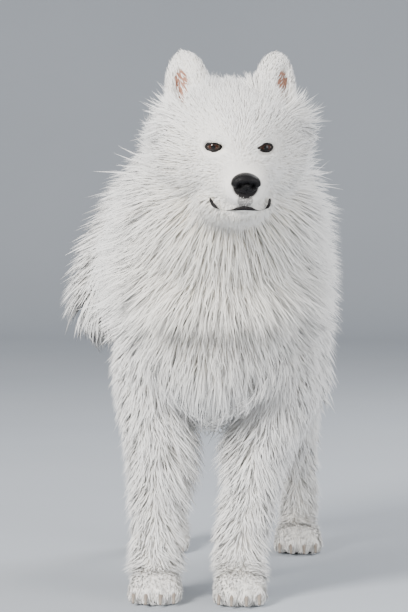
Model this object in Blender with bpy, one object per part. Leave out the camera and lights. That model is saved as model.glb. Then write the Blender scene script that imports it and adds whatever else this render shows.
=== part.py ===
"""Samoyed standing square, its head turned a little to the left and its tail curled over its back.

A life-size adult. Metres, +Z up, floor at Z 0. The dog faces -Y and its left side is +X.
Each part of the body is one smooth form that reaches out to the tips of its coat.
"""

import math

import bmesh
import bpy
import numpy as np
from mathutils import Matrix, Vector

# Driving dimensions of the dog under its coat
WITHERS = 0.565
BODY_LENGTH = 0.60
CHEST_HALF_WIDTH = 0.113
CHEST_DEPTH = 0.262
EYE_MIDDLE = Vector((0.039, -0.465, 0.648))
HEAD_YAW = math.radians(9.2)
HEAD_PITCH = math.radians(6.0)
HEAD_ROLL = math.radians(0.5)
EYE_SPACING = 0.068
EYE_RADIUS = 0.0105
EYE_SEGMENTS = 14
MUZZLE_LENGTH = 0.088
EAR_HEIGHT = 0.092
CUP_OUTWARDS = 0.005
FORE_PAW = {"left": Vector((0.036, -0.262, 0.0)), "right": Vector((-0.085, -0.255, 0.0))}
HIND_PAW = {"left": Vector((0.114, 0.232, 0.0)), "right": Vector((-0.098, 0.238, 0.0))}

# Depth of the coat over the skin, out to the tips of the hair
COAT = {
    "torso": 0.045,
    "neck": 0.062,
    "tail": 0.052,
    "fore_leg": 0.021,
    "thigh": 0.036,
    "shank": 0.017,
}

# How much further the ruff spreads to the sides behind the cheeks than on the shoulders
RUFF_SPREAD = 0.026

GAP = 0.0003
CUT_GAP = 0.0005
SOLE_DEPTH = 0.004

SIDES = {"left": 1.0, "right": -1.0}
X_AXIS = Vector((1.0, 0.0, 0.0))

# Linear colour, roughness
FINISHES = {
    "coat": ((0.80, 0.78, 0.74), 0.85),
    "nose": ((0.012, 0.012, 0.014), 0.40),
    "eye": ((0.030, 0.014, 0.008), 0.08),
}


def clear_scene():
    for found in list(bpy.data.objects):
        bpy.data.objects.remove(found)


def collection(name):
    made = bpy.data.collections.new(name)
    bpy.context.scene.collection.children.link(made)
    return made


def material(name):
    colour, roughness = FINISHES[name]
    made = bpy.data.materials.new(name)
    made.use_nodes = True
    shader = made.node_tree.nodes["Principled BSDF"]
    shader.inputs["Base Color"].default_value = (*colour, 1.0)
    shader.inputs["Roughness"].default_value = roughness
    shader.inputs["Metallic"].default_value = 0.0
    made.diffuse_color = (*colour, 1.0)
    return made


def add_object(name, mesh, home):
    made = bpy.data.objects.new(name, mesh)
    home.objects.link(made)
    return made


def as_tool(made):
    """Marks a cutter, which is no part of the dog."""
    made.hide_render = True
    made.display_type = "WIRE"
    return made


def mesh_from(name, bm):
    """The bmesh as a mesh whose faces point outwards."""
    bmesh.ops.recalc_face_normals(bm, faces=bm.faces)
    mesh = bpy.data.meshes.new(name)
    bm.to_mesh(mesh)
    bm.free()
    return mesh


def head_matrix():
    turn = Matrix.Rotation(HEAD_YAW, 4, "Z") @ Matrix.Rotation(HEAD_PITCH, 4, "X")
    return Matrix.Translation(EYE_MIDDLE) @ turn @ Matrix.Rotation(HEAD_ROLL, 4, "Y")


HEAD = head_matrix()


def smooth_rows(stations, rings):
    """Rows of numbers along a smooth curve through the stations' rows."""
    rows = np.array(stations, float)
    last = len(rows) - 1
    padded = np.vstack([2 * rows[0] - rows[1], rows, 2 * rows[-1] - rows[-2]])
    out = []
    for at in np.linspace(0, last, rings):
        i = min(int(at), last - 1)
        t = at - i
        a, b, c, d = padded[i : i + 4]
        out.append(
            0.5 * (2 * b + (c - a) * t + (2 * a - 5 * b + 4 * c - d) * t**2 + (3 * b - a - 3 * c + d) * t**3)
        )
    return np.array(out)


class Loft:
    """A closed form through oval sections along a path.

    A row is x, y, z, half width, half height above and half height below the path.
    """

    def __init__(self, rows, sides, grow=0.0, square=2.0, across=X_AXIS, place=None):
        self.place = place or Matrix.Identity(4)
        self.centres = [Vector(row[:3]) for row in rows]
        self.halves = np.maximum(np.array(rows)[:, 3:] + grow, 0.002)
        self.square = square
        self.sides = sides
        self.frames = [self.frame(i, across) for i in range(len(rows))]

    def frame(self, i, across):
        """The section's side and up directions."""
        before = self.centres[max(i - 1, 0)]
        after = self.centres[min(i + 1, len(self.centres) - 1)]
        along = (after - before).normalized()
        side = (across - along * across.dot(along)).normalized()
        return side, side.cross(along)

    def point(self, ring, turn):
        """The point of a section at an angle in turns: 0 is the side direction and a quarter is up."""
        cos, sin = math.cos(turn * math.tau), math.sin(turn * math.tau)
        half, above, below = self.halves[ring]
        side, up = self.frames[ring]
        power = 2.0 / self.square
        out = math.copysign(abs(cos) ** power, cos) * half
        rise = math.copysign(abs(sin) ** power, sin) * (above if sin > 0 else below)
        return self.place @ (self.centres[ring] + side * out + up * rise)

    def bmesh(self):
        bm = bmesh.new()
        loops = [
            [bm.verts.new(self.point(ring, j / self.sides)) for j in range(self.sides)]
            for ring in range(len(self.centres))
        ]
        for one, two in zip(loops, loops[1:]):
            for j in range(self.sides):
                k = (j + 1) % self.sides
                bm.faces.new((one[j], one[k], two[k], two[j]))
        for loop in (loops[0], loops[-1]):
            bm.faces.new(loop)
        bmesh.ops.triangulate(bm, faces=bm.faces)
        bmesh.ops.recalc_face_normals(bm, faces=bm.faces)
        return bm

    def mesh(self, name):
        return mesh_from(name, self.bmesh())


def torso_rows():
    """From the breast bone back to the buttocks: the back stays level and the belly tucks up."""
    front = -0.55 * BODY_LENGTH
    deep = CHEST_DEPTH / 2
    plan = (
        (0.00, 0.75, 0.20, 0.18),
        (0.04, 0.75, 0.60, 0.62),
        (0.13, 0.75, 0.88, 0.92),
        (0.28, 0.755, 1.00, 1.03),
        (0.46, 0.765, 1.02, 0.98),
        (0.62, 0.785, 0.96, 0.84),
        (0.77, 0.80, 0.92, 0.74),
        (0.90, 0.815, 0.88, 0.68),
        (0.97, 0.82, 0.66, 0.54),
        (1.01, 0.82, 0.22, 0.20),
    )
    stations = [
        (0.0, front + at * BODY_LENGTH, WITHERS * level, CHEST_HALF_WIDTH * wide, deep * depth, deep * depth)
        for at, level, wide, depth in plan
    ]
    return smooth_rows(stations, 18)


def neck_rows():
    """From inside the back of the head down into the shoulders.

    The ruff on it is rounded off in front, where it frames the cheeks.
    """
    head_end = EYE_MIDDLE + Vector((-0.018, 0.075, -0.012))
    chest_end = Vector((0.0, -0.165, WITHERS * 0.80))
    plan = (
        (0.00, 0.030, 0.026, 0.034),
        (0.10, 0.060, 0.056, 0.064),
        (0.25, 0.070, 0.070, 0.078),
        (0.50, 0.080, 0.082, 0.092),
        (0.75, 0.093, 0.090, 0.105),
        (1.00, 0.098, 0.080, 0.105),
    )
    stations = [
        (*head_end.lerp(chest_end, at), half + RUFF_SPREAD * (1.0 - 0.8 * at), above, below)
        for at, half, above, below in plan
    ]
    return smooth_rows(stations, 11)


def fore_leg_rows(side):
    """From the shoulder down the forearm to the pastern."""
    paw = FORE_PAW[side]
    shoulder_x = 0.088 * SIDES[side]
    stations = (
        (shoulder_x * 0.84, -0.190, 0.415, 0.036, 0.052, 0.052),
        (shoulder_x * 1.02, -0.205, 0.345, 0.047, 0.062, 0.062),
        (shoulder_x * 1.06, -0.208, 0.290, 0.040, 0.050, 0.048),
        (shoulder_x * 0.55 + paw.x * 0.45, -0.216, 0.215, 0.031, 0.036, 0.036),
        (shoulder_x * 0.24 + paw.x * 0.76, -0.226, 0.140, 0.026, 0.028, 0.028),
        (paw.x, -0.236, 0.090, 0.024, 0.026, 0.025),
        (paw.x, -0.246, 0.046, 0.025, 0.027, 0.025),
        (paw.x, -0.252, 0.024, 0.018, 0.020, 0.018),
    )
    return smooth_rows(stations, 14)


def hind_leg_rows(side):
    """From the hip over the stifle and the hock to the hind pastern."""
    paw = HIND_PAW[side]
    hip_x = 0.078 * SIDES[side]
    stations = (
        (hip_x * 0.70, 0.165, 0.480, 0.030, 0.060, 0.060),
        (hip_x * 1.00, 0.152, 0.400, 0.052, 0.088, 0.088),
        (hip_x * 1.18, 0.152, 0.325, 0.046, 0.074, 0.072),
        (hip_x * 0.60 + paw.x * 0.50, 0.188, 0.250, 0.033, 0.046, 0.048),
        (paw.x * 0.98, 0.242, 0.178, 0.023, 0.030, 0.032),
        (paw.x, 0.262, 0.125, 0.020, 0.024, 0.026),
        (paw.x, 0.256, 0.070, 0.021, 0.025, 0.026),
        (paw.x, 0.248, 0.026, 0.018, 0.022, 0.020),
    )
    return smooth_rows(stations, 22)


def tail_rows():
    """Root on the croup, up and forward over the back, then down the right flank.

    Its last sizes are negative, so that the coat on them narrows to the tip of the plume.
    """
    croup = Vector((0.0, 0.235, WITHERS * 0.955))
    plan = (
        (0.000, -0.010, -0.030, 0.026),
        (-0.001, 0.038, 0.030, 0.026),
        (-0.006, 0.050, 0.088, 0.025),
        (-0.026, 0.012, 0.118, 0.024),
        (-0.058, -0.044, 0.104, 0.023),
        (-0.098, -0.078, 0.052, 0.022),
        (-0.138, -0.094, -0.008, 0.020),
        (-0.174, -0.104, -0.070, 0.014),
        (-0.197, -0.110, -0.128, 0.008),
        (-0.196, -0.112, -0.176, -0.012),
        (-0.188, -0.112, -0.210, -0.032),
        (-0.180, -0.112, -0.226, -0.047),
    )
    stations = [(*(croup + Vector(step[:3])), step[3], step[3], step[3]) for step in plan]
    return smooth_rows(stations, 34)


def head_rows():
    """Muzzle, stop and skull with the short coat of the face and the deep one of the cheeks.

    The rows are in the head's own frame.
    """
    stations = (
        (0.0, -0.087, -0.047, 0.022, 0.016, 0.021),
        (0.0, -0.078, -0.047, 0.029, 0.023, 0.028),
        (0.0, -0.060, -0.046, 0.034, 0.029, 0.032),
        (0.0, -0.040, -0.042, 0.039, 0.034, 0.035),
        (0.0, -0.022, -0.035, 0.047, 0.043, 0.041),
        (0.0, -0.002, -0.023, 0.061, 0.062, 0.053),
        (0.0, 0.024, -0.014, 0.080, 0.078, 0.070),
        (0.0, 0.052, -0.010, 0.096, 0.088, 0.080),
        (0.0, 0.086, -0.006, 0.117, 0.092, 0.084),
        (0.0, 0.118, -0.008, 0.120, 0.082, 0.078),
        (0.0, 0.142, -0.012, 0.090, 0.056, 0.054),
    )
    return smooth_rows(stations, 20)


def jaw_rows():
    """The lower jaw under the upper lips, from the chin back to the throat."""
    stations = (
        (0.0, -0.0755, -0.0790, 0.010, 0.006, 0.008),
        (0.0, -0.0700, -0.0785, 0.020, 0.012, 0.015),
        (0.0, -0.0520, -0.0770, 0.028, 0.016, 0.020),
        (0.0, -0.0280, -0.0740, 0.035, 0.020, 0.025),
        (0.0, 0.0020, -0.0700, 0.042, 0.022, 0.030),
        (0.0, 0.0320, -0.0660, 0.044, 0.022, 0.034),
        (0.0, 0.0550, -0.0620, 0.036, 0.018, 0.030),
    )
    return smooth_rows(stations, 9)


def paw_rows(paw):
    """A rounded, well-furred paw from the pastern to the toes, a little below the floor."""
    plan = (
        (0.042, 0.020, 0.016, 0.014),
        (0.034, 0.022, 0.029, 0.030),
        (0.010, 0.022, 0.037, 0.040),
        (-0.020, 0.020, 0.040, 0.031),
        (-0.040, 0.017, 0.036, 0.020),
        (-0.052, 0.013, 0.024, 0.010),
    )
    stations = [
        (paw.x, paw.y + along, level, half, above, level + SOLE_DEPTH) for along, level, half, above in plan
    ]
    return smooth_rows(stations, 8)


def ear_frame(side):
    """The ear's own frame: up along the ear, with its cup towards -Y and a little outwards."""
    turn = SIDES[side]
    base = Vector((0.054 * turn, 0.068, 0.036))
    lean = Matrix.Rotation(math.radians(17) * turn, 4, "Y") @ Matrix.Rotation(math.radians(-17), 4, "X")
    return HEAD @ Matrix.Translation(base) @ Matrix.Rotation(math.radians(20) * turn, 4, "Z") @ lean


def ear_rows(plan, rings, forward=0.0):
    stations = [
        (0.0, 0.006 * at - forward, at * EAR_HEIGHT, half, front, back) for at, half, front, back in plan
    ]
    return smooth_rows(stations, rings)


def ear_loft(side):
    """Thick, triangular and rounded at the tip, with its coat."""
    plan = (
        (0.00, 0.038, 0.023, 0.018),
        (0.22, 0.036, 0.022, 0.017),
        (0.45, 0.032, 0.019, 0.015),
        (0.65, 0.028, 0.016, 0.013),
        (0.83, 0.022, 0.012, 0.010),
        (0.95, 0.014, 0.009, 0.008),
        (1.01, 0.006, 0.004, 0.004),
    )
    return Loft(ear_rows(plan, 9), 14, place=ear_frame(side))


def ear_cup(side):
    """The hollow in the front of the ear, open in front and closed behind."""
    plan = (
        (0.14, 0.007, 0.016, 0.002),
        (0.28, 0.013, 0.016, 0.009),
        (0.44, 0.014, 0.015, 0.010),
        (0.60, 0.011, 0.013, 0.008),
        (0.76, 0.005, 0.011, 0.002),
    )
    rows = ear_rows(plan, 6, forward=0.010)
    rows[:, 0] += CUP_OUTWARDS * SIDES[side]
    return Loft(rows, 12, place=ear_frame(side))


def all_lofts():
    """The forms of the body by the name of their node, with the coat on them."""
    tail = tail_rows()
    lofts = {
        "torso": Loft(torso_rows(), 20, COAT["torso"]),
        "neck": Loft(neck_rows(), 18, COAT["neck"]),
        "head": Loft(head_rows(), 26, square=2.1, place=HEAD),
        "lower_jaw": Loft(jaw_rows(), 14, place=HEAD),
        "tail_base": Loft(tail[:10], 12, COAT["tail"]),
        "tail_middle": Loft(tail[9:18], 12, COAT["tail"]),
        "tail_end": Loft(tail[17:], 12, COAT["tail"]),
    }
    for side in SIDES:
        hind = hind_leg_rows(side)
        lofts[f"fore_leg_{side}"] = Loft(fore_leg_rows(side), 12, COAT["fore_leg"])
        lofts[f"thigh_{side}"] = Loft(hind[:11], 14, COAT["thigh"])
        lofts[f"shank_{side}"] = Loft(hind[10:], 12, COAT["shank"])
        lofts[f"fore_paw_{side}"] = Loft(paw_rows(FORE_PAW[side]), 12, square=2.5)
        lofts[f"hind_paw_{side}"] = Loft(paw_rows(HIND_PAW[side]), 12, square=2.5)
        lofts[f"ear_{side}"] = ear_loft(side)
    return lofts


def apply_modifiers(made):
    bpy.context.view_layer.update()
    graph = bpy.context.evaluated_depsgraph_get()
    mesh = bpy.data.meshes.new_from_object(made.evaluated_get(graph))
    made.modifiers.clear()
    made.data = mesh


def largest_only(made):
    """Keeps the mesh's largest closed surface."""
    bm = bmesh.new()
    bm.from_mesh(made.data)
    left = set(bm.verts)
    islands = []
    while left:
        island, front = set(), [next(iter(left))]
        while front:
            vert = front.pop()
            if vert in island:
                continue
            island.add(vert)
            front.extend(edge.other_vert(vert) for edge in vert.link_edges)
        left -= island
        islands.append(island)
    islands.sort(key=len, reverse=True)
    loose = [vert for island in islands[1:] for vert in island]
    bmesh.ops.delete(bm, geom=loose, context="VERTS")
    bm.to_mesh(made.data)
    bm.free()


def fuse(name, core_mesh, pieces, home):
    """One closed body of a core and the pieces that grow from it."""
    made = add_object(name, core_mesh, home)
    if pieces.objects:
        modifier = made.modifiers.new("join", "BOOLEAN")
        modifier.operation = "UNION"
        modifier.solver = "MANIFOLD"
        modifier.operand_type = "COLLECTION"
        modifier.collection = pieces
        apply_modifiers(made)
        largest_only(made)
    for piece in list(pieces.objects):
        bpy.data.objects.remove(piece)
    return made


def grown_mesh(mesh, by):
    """A copy whose faces all stand about as far proud."""
    bm = bmesh.new()
    bm.from_mesh(mesh)
    bm.normal_update()
    steps = []
    for vert in bm.verts:
        lean = min(vert.normal.dot(face.normal) for face in vert.link_faces)
        steps.append(vert.normal * (by / max(lean, 0.4)))
    for vert, step in zip(bm.verts, steps):
        vert.co += step
    return mesh_from("grown", bm)


def join(name, core_mesh, pieces, home, tools):
    """The fused body, and the room around it that its neighbours leave free."""
    grown_pieces = collection("grown_pieces")
    for piece in pieces.objects:
        add_object("grown_piece", grown_mesh(piece.data, CUT_GAP), grown_pieces)
    room = as_tool(fuse(name + "_room", grown_mesh(core_mesh, CUT_GAP), grown_pieces, tools))
    bpy.data.collections.remove(grown_pieces)
    return fuse(name, core_mesh, pieces, home), room


def cut(made, cutters):
    """Takes the cutters' space away from a body."""
    for cutter in cutters:
        modifier = made.modifiers.new("cut", "BOOLEAN")
        modifier.operation = "DIFFERENCE"
        modifier.solver = "MANIFOLD"
        modifier.object = cutter
    apply_modifiers(made)
    largest_only(made)


def box_of(made):
    corners = np.array([vert.co for vert in made.data.vertices])
    return corners.min(axis=0), corners.max(axis=0)


def near(made, others):
    """The other objects whose box meets this one's."""
    low, high = box_of(made)
    found = []
    for other in others:
        other_low, other_high = box_of(other)
        if np.all(low <= other_high) and np.all(other_low <= high):
            found.append(other)
    return found


def ball(name, centre, radii, segments, home, turn=None):
    """An ellipsoid mesh object, baked in place."""
    bm = bmesh.new()
    bmesh.ops.create_uvsphere(bm, u_segments=segments, v_segments=segments // 2, radius=1.0)
    matrix = Matrix.Translation(centre) @ (turn or Matrix.Identity(4)) @ Matrix.Diagonal((*radii, 1.0))
    bm.transform(matrix)
    bmesh.ops.triangulate(bm, faces=bm.faces)
    return add_object(name, mesh_from(name, bm), home)


def ground(home):
    """A block that fills the space below the floor."""
    size = 3.0
    bm = bmesh.new()
    bmesh.ops.create_cube(bm, size=size)
    bm.transform(Matrix.Translation((0.0, 0.0, -size / 2)))
    return as_tool(add_object("ground", mesh_from("ground", bm), home))


def as_cutter(loft, name, home):
    return as_tool(add_object(name, loft.mesh(name), home))


def eye_centre(side):
    """The middle of an eyeball, in the head's frame."""
    return Vector((EYE_SPACING / 2 * SIDES[side], -0.0085, 0.0))


def eye_frame(side):
    """Where an eye looks: a little outwards, with the outer corner of the lids raised."""
    turn = SIDES[side]
    gaze = Matrix.Rotation(math.radians(14) * turn, 4, "Z")
    slant = Matrix.Rotation(math.radians(-9) * turn, 4, "Y")
    return Matrix.Translation(eye_centre(side)) @ gaze @ slant


def lid_opening(side):
    """The almond between the lids, as a form that runs forward out of the eye."""
    plan = ((0.0, -0.004, 0.0, 0.0100, 0.0058, 0.0046), (0.0, -0.030, 0.0, 0.0114, 0.0066, 0.0054))
    return Loft(smooth_rows(plan, 3), 14, square=1.4, place=HEAD @ eye_frame(side))


def nose_loft():
    front = -MUZZLE_LENGTH - 0.0095
    stations = (
        (0.0, front + 0.026, -0.0400, 0.0170, 0.0120, 0.0150),
        (0.0, front + 0.014, -0.0405, 0.0198, 0.0150, 0.0168),
        (0.0, front + 0.006, -0.0415, 0.0192, 0.0145, 0.0155),
        (0.0, front + 0.0015, -0.0425, 0.0160, 0.0115, 0.0120),
        (0.0, front, -0.0430, 0.0090, 0.0060, 0.0065),
    )
    return Loft(smooth_rows(stations, 8), 18, place=HEAD)


def nostril(side):
    """A nostril that opens forward."""
    turn = SIDES[side]
    front = -MUZZLE_LENGTH - 0.0095
    stations = (
        (0.0085 * turn, front - 0.004, -0.0435, 0.0040, 0.0040, 0.0036),
        (0.0095 * turn, front + 0.004, -0.0430, 0.0042, 0.0042, 0.0036),
        (0.0105 * turn, front + 0.011, -0.0420, 0.0022, 0.0022, 0.0020),
    )
    return Loft(smooth_rows(stations, 4), 8, place=HEAD)


def nostril_slit(side):
    """The slit that curls out to the side from a nostril."""
    turn = SIDES[side]
    front = -MUZZLE_LENGTH - 0.0095
    stations = (
        (0.0100 * turn, front + 0.0030, -0.0440, 0.0016, 0.0040, 0.0040),
        (0.0165 * turn, front + 0.0050, -0.0460, 0.0014, 0.0040, 0.0040),
        (0.0215 * turn, front + 0.0085, -0.0450, 0.0010, 0.0040, 0.0040),
    )
    return Loft(smooth_rows(stations, 4), 6, across=Vector((0, 0, 1)), place=HEAD)


def paw_body(side, name, loft, home, tools, pieces):
    """A paw with four toes in front, flat where it stands."""
    centre = (FORE_PAW if name.startswith("fore") else HIND_PAW)[side]
    for i, (out, along) in enumerate(((-0.027, -0.040), (-0.010, -0.051), (0.010, -0.051), (0.027, -0.040))):
        spread = Matrix.Rotation(math.radians(-9 + 6 * i), 4, "Z")
        ball("toe", centre + Vector((out, along, 0.012)), (0.0105, 0.022, 0.0155), 8, pieces, spread)
    made, room = join(name, loft.mesh(name), pieces, home, tools)
    cut(made, [tools.objects["ground"]])
    return made, room


def head_body(loft, home, tools, pieces):
    """The head with its upper lips, the bulge of the lids and the almond opening over each eye."""
    for side in SIDES:
        ball("lid", HEAD @ eye_centre(side), (EYE_RADIUS + 0.0028,) * 3, EYE_SEGMENTS, pieces)
    made, room = join("head", loft.mesh("head"), pieces, home, tools)
    hollow = (EYE_RADIUS + GAP,) * 3
    cutters = [as_tool(ball("socket", HEAD @ eye_centre(side), hollow, EYE_SEGMENTS, tools)) for side in SIDES]
    cutters += [as_cutter(lid_opening(side), "opening", tools) for side in SIDES]
    cut(made, cutters)
    return made, room


def nose_body(home, tools, rooms):
    made = add_object("nose", nose_loft().mesh("nose"), home)
    cutters = [as_cutter(nostril(side), "nostril", tools) for side in SIDES]
    cutters += [as_cutter(nostril_slit(side), "slit", tools) for side in SIDES]
    cut(made, cutters + near(made, rooms))
    return made


def limb_of(name):
    """The kind of part that a node's name tells."""
    return name.replace("_left", "").replace("_right", "")


def stand_on_origin(home):
    """Sets the middle of the dog's box over the origin, with the soles at Z 0."""
    boxes = [box_of(made) for made in home.objects]
    low = np.min([box[0] for box in boxes], axis=0)
    high = np.max([box[1] for box in boxes], axis=0)
    middle = (low + high) / 2
    for made in home.objects:
        made.location = (-middle[0], -middle[1], 0.0)
    print("box", [round(float(value), 4) for value in high - low], "moved", [round(float(v), 4) for v in middle])


def build():
    clear_scene()
    home = collection("samoyed")
    tools = collection("cutters")
    pieces = collection("pieces")
    ground(tools)
    lofts = all_lofts()
    order = ["tail_base", "tail_middle", "tail_end", "head", "neck", "torso"]
    for limb in ("thigh", "hind_paw", "shank", "fore_paw", "fore_leg"):
        order += [f"{limb}_{side}" for side in SIDES]
    order += ["lower_jaw", "ear_left", "ear_right"]
    rooms = []
    total = 0
    for name in order:
        limb = limb_of(name)
        side = name.rsplit("_", 1)[-1]
        if name == "head":
            made, room = head_body(lofts[name], home, tools, pieces)
        elif limb.endswith("paw"):
            made, room = paw_body(side, name, lofts[name], home, tools, pieces)
        else:
            made, room = join(name, lofts[name].mesh(name), pieces, home, tools)
        cutters = near(made, rooms)
        if limb == "ear":
            cutters.append(as_cutter(ear_cup(side), "cup", tools))
        if cutters:
            cut(made, cutters)
        made.data.calc_loop_triangles()
        total += len(made.data.loop_triangles)
        print(name, "triangles", len(made.data.loop_triangles), "of", total)
        rooms.append(room)
    for side in SIDES:
        ball(f"eye_{side}", HEAD @ eye_centre(side), (EYE_RADIUS,) * 3, EYE_SEGMENTS, home)
    nose_body(home, tools, rooms)
    for made in home.objects:
        slot = limb_of(made.name) if limb_of(made.name) in FINISHES else "coat"
        made.data.materials.clear()
        made.data.materials.append(bpy.data.materials.get(slot) or material(slot))
    stand_on_origin(home)


build()
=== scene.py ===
# %% [markdown]
# # A life-size samoyed in its winter coat
# The solids of the dog are already made and packed. This script loads them as a fixed frame and
# dresses them: one smooth skin, a long coat of mesh tufts, wet eyes, a leather nose, dark lips and
# claws. Everything is in metres, with the floor at Z 0 and the dog facing -Y.

import math

import bmesh
import bpy
import numpy as np
from mathutils import Matrix, Vector
from mathutils.bvhtree import BVHTree
from mathutils.kdtree import KDTree


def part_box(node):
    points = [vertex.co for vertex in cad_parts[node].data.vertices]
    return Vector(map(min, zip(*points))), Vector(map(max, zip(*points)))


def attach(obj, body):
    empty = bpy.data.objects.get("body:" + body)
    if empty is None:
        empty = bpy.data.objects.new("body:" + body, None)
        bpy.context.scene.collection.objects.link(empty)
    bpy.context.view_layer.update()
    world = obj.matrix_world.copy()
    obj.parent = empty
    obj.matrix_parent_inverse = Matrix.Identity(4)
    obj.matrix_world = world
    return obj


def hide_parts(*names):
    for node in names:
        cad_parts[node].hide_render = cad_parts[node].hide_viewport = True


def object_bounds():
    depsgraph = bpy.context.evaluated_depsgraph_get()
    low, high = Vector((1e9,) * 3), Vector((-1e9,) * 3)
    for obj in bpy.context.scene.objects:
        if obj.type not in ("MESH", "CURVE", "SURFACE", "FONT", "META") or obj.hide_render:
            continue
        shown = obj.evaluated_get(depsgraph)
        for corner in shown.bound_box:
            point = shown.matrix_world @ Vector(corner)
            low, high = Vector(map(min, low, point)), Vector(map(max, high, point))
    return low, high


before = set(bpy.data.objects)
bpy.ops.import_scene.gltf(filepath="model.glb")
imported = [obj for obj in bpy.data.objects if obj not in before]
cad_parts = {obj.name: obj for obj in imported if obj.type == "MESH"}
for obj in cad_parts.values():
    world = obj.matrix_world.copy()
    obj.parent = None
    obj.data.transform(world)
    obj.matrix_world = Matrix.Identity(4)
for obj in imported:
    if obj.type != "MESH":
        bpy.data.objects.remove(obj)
cad_box = [list(corner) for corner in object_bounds()]
print("loaded", len(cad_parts), "nodes")

# %% [markdown]
# ## Camera
# The picture was taken from low down and from a few metres away, straight in front of the chest.
# A long lens at the real distance gives the same flat perspective. The picture looks down on
# nothing: its middle is lower than the lens, so the camera stays level and its frame is shifted.
# The head is a fixed place in the dog, so an eye node tells where the dog stands in the frame.

# %% Where the dog stands
HEAD_PLACE = Matrix.Translation((0.039, -0.465, 0.648))
HEAD_TURN = Matrix.Rotation(math.radians(9.2), 4, "Z") @ Matrix.Rotation(math.radians(6.0), 4, "X")
HEAD = HEAD_PLACE @ HEAD_TURN @ Matrix.Rotation(math.radians(0.5), 4, "Y")
EYE_SPACING = 0.068
EYE_RADIUS = 0.0105
SIDES = {"left": 1.0, "right": -1.0}


def eye_centre(side):
    """The middle of an eyeball, in the head's frame."""
    return Vector((EYE_SPACING / 2 * SIDES[side], -0.0085, 0.0))


def gaze(side):
    """Turns an eye a little outwards."""
    return Matrix.Rotation(math.radians(10) * SIDES[side], 4, "Z")


eye_low, eye_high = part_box("eye_left")
SHIFT = (eye_low + eye_high) / 2 - HEAD @ eye_centre("left")
TO_FRAME = Matrix.Translation(SHIFT)
HEAD_IN_FRAME = TO_FRAME @ HEAD
HEAD_BACK = HEAD_IN_FRAME.inverted()
EYE_FRAMES = {side: HEAD_IN_FRAME @ Matrix.Translation(eye_centre(side)) @ gaze(side) for side in SIDES}
print("the dog is moved by", [round(value, 4) for value in SHIFT])

# %% Camera
CAMERA_DISTANCE = 3.8
CAMERA_AZIMUTH = math.radians(2.5)
PHOTO_HEIGHT = 612
FOCAL_PIXELS = 2660.0

camera = bpy.data.objects.new("camera", bpy.data.cameras.new("camera"))
bpy.context.scene.collection.objects.link(camera)
camera.data.sensor_fit = "VERTICAL"
camera.data.sensor_height = 36.0
camera.data.lens = FOCAL_PIXELS / PHOTO_HEIGHT * camera.data.sensor_height
camera.data.shift_y = -(306 - 155) / PHOTO_HEIGHT
camera.data.clip_start = 0.05
away = Vector((math.sin(CAMERA_AZIMUTH), -math.cos(CAMERA_AZIMUTH), 0.0))
camera.location = SHIFT + Vector((-0.016, -0.26, 0.636)) + away * CAMERA_DISTANCE
camera.rotation_euler = (math.radians(90), 0.0, CAMERA_AZIMUTH)
bpy.context.scene.camera = camera
print("camera", [round(value, 3) for value in camera.location])

# %% [markdown]
# ## Shader maths in plain Python
# A node tree is a formula, and a formula is easier to read than a drawing of boxes. `Wire` wraps
# a socket, so that `1 - mask * 0.5` adds its Math nodes by itself. `Finish` is a material with a
# Principled shader: one method makes any other node, with its settings before its sockets.

# %% Wires and finishes


class Wire:
    """A number or colour on its way through a material."""

    def __init__(self, finish, socket):
        self.finish = finish
        self.socket = socket

    def math(self, operation, *values):
        return self.finish.node("ShaderNodeMath", {"operation": operation}, dict(enumerate(values)))

    def __add__(self, other):
        return self.math("ADD", self, other)

    __radd__ = __add__

    def __sub__(self, other):
        return self.math("SUBTRACT", self, other)

    def __rsub__(self, other):
        return self.math("SUBTRACT", other, self)

    def __mul__(self, other):
        return self.math("MULTIPLY", self, other)

    __rmul__ = __mul__

    def over(self, low, high):
        """0 below the low value, 1 above the high one, and smooth between."""
        sockets = {"Value": self, "From Min": low, "From Max": high}
        return self.finish.node("ShaderNodeMapRange", {"interpolation_type": "SMOOTHSTEP"}, sockets)


class Finish:
    """A material with one Principled shader."""

    def __init__(self, name, **constants):
        self.material = bpy.data.materials.new(name)
        self.material.use_nodes = True
        self.tree = self.material.node_tree
        self.shader = self.tree.nodes["Principled BSDF"]
        for socket, value in constants.items():
            self.feed(self.shader.inputs[socket.replace("_", " ")], value)

    def feed(self, socket, value):
        """Links a wire to a socket, or sets the socket's own value."""
        if isinstance(value, Wire):
            self.tree.links.new(value.socket, socket)
        elif hasattr(value, "__len__") and len(value) == 3 and socket.type == "RGBA":
            socket.default_value = (*value, 1.0)
        else:
            socket.default_value = value

    def node(self, kind, settings, sockets, output=0):
        made = self.tree.nodes.new(kind)
        for key, value in settings.items():
            setattr(made, key, value)
        for key, value in sockets.items():
            self.feed(made.inputs[key], value)
        return Wire(self, made.outputs[output])

    def place(self):
        """A point's place in the frame, as every piece sits at the origin."""
        return self.node("ShaderNodeTexCoord", {}, {}, "Object")

    def blend(self, factor, one, two):
        """From one colour to the other as the factor goes from 0 to 1."""
        return self.node("ShaderNodeMix", {"data_type": "RGBA"}, {0: factor, 6: one, 7: two}, 2)

    def noise(self, scale, detail=3.0):
        sockets = {"Vector": self.place(), "Scale": scale, "Detail": detail}
        return self.node("ShaderNodeTexNoise", {}, sockets)

    def distance(self, point):
        """How far the surface is from a fixed point."""
        sockets = {0: self.place(), 1: tuple(point)}
        return self.node("ShaderNodeVectorMath", {"operation": "DISTANCE"}, sockets, "Value")

    def bump(self, height, distance, strength=1.0):
        sockets = {"Height": height, "Distance": distance, "Strength": strength}
        self.feed(self.shader.inputs["Normal"], self.node("ShaderNodeBump", {}, sockets))

    def colour(self, value):
        self.feed(self.shader.inputs["Base Color"], value)


print("shader helpers are ready")

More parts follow.
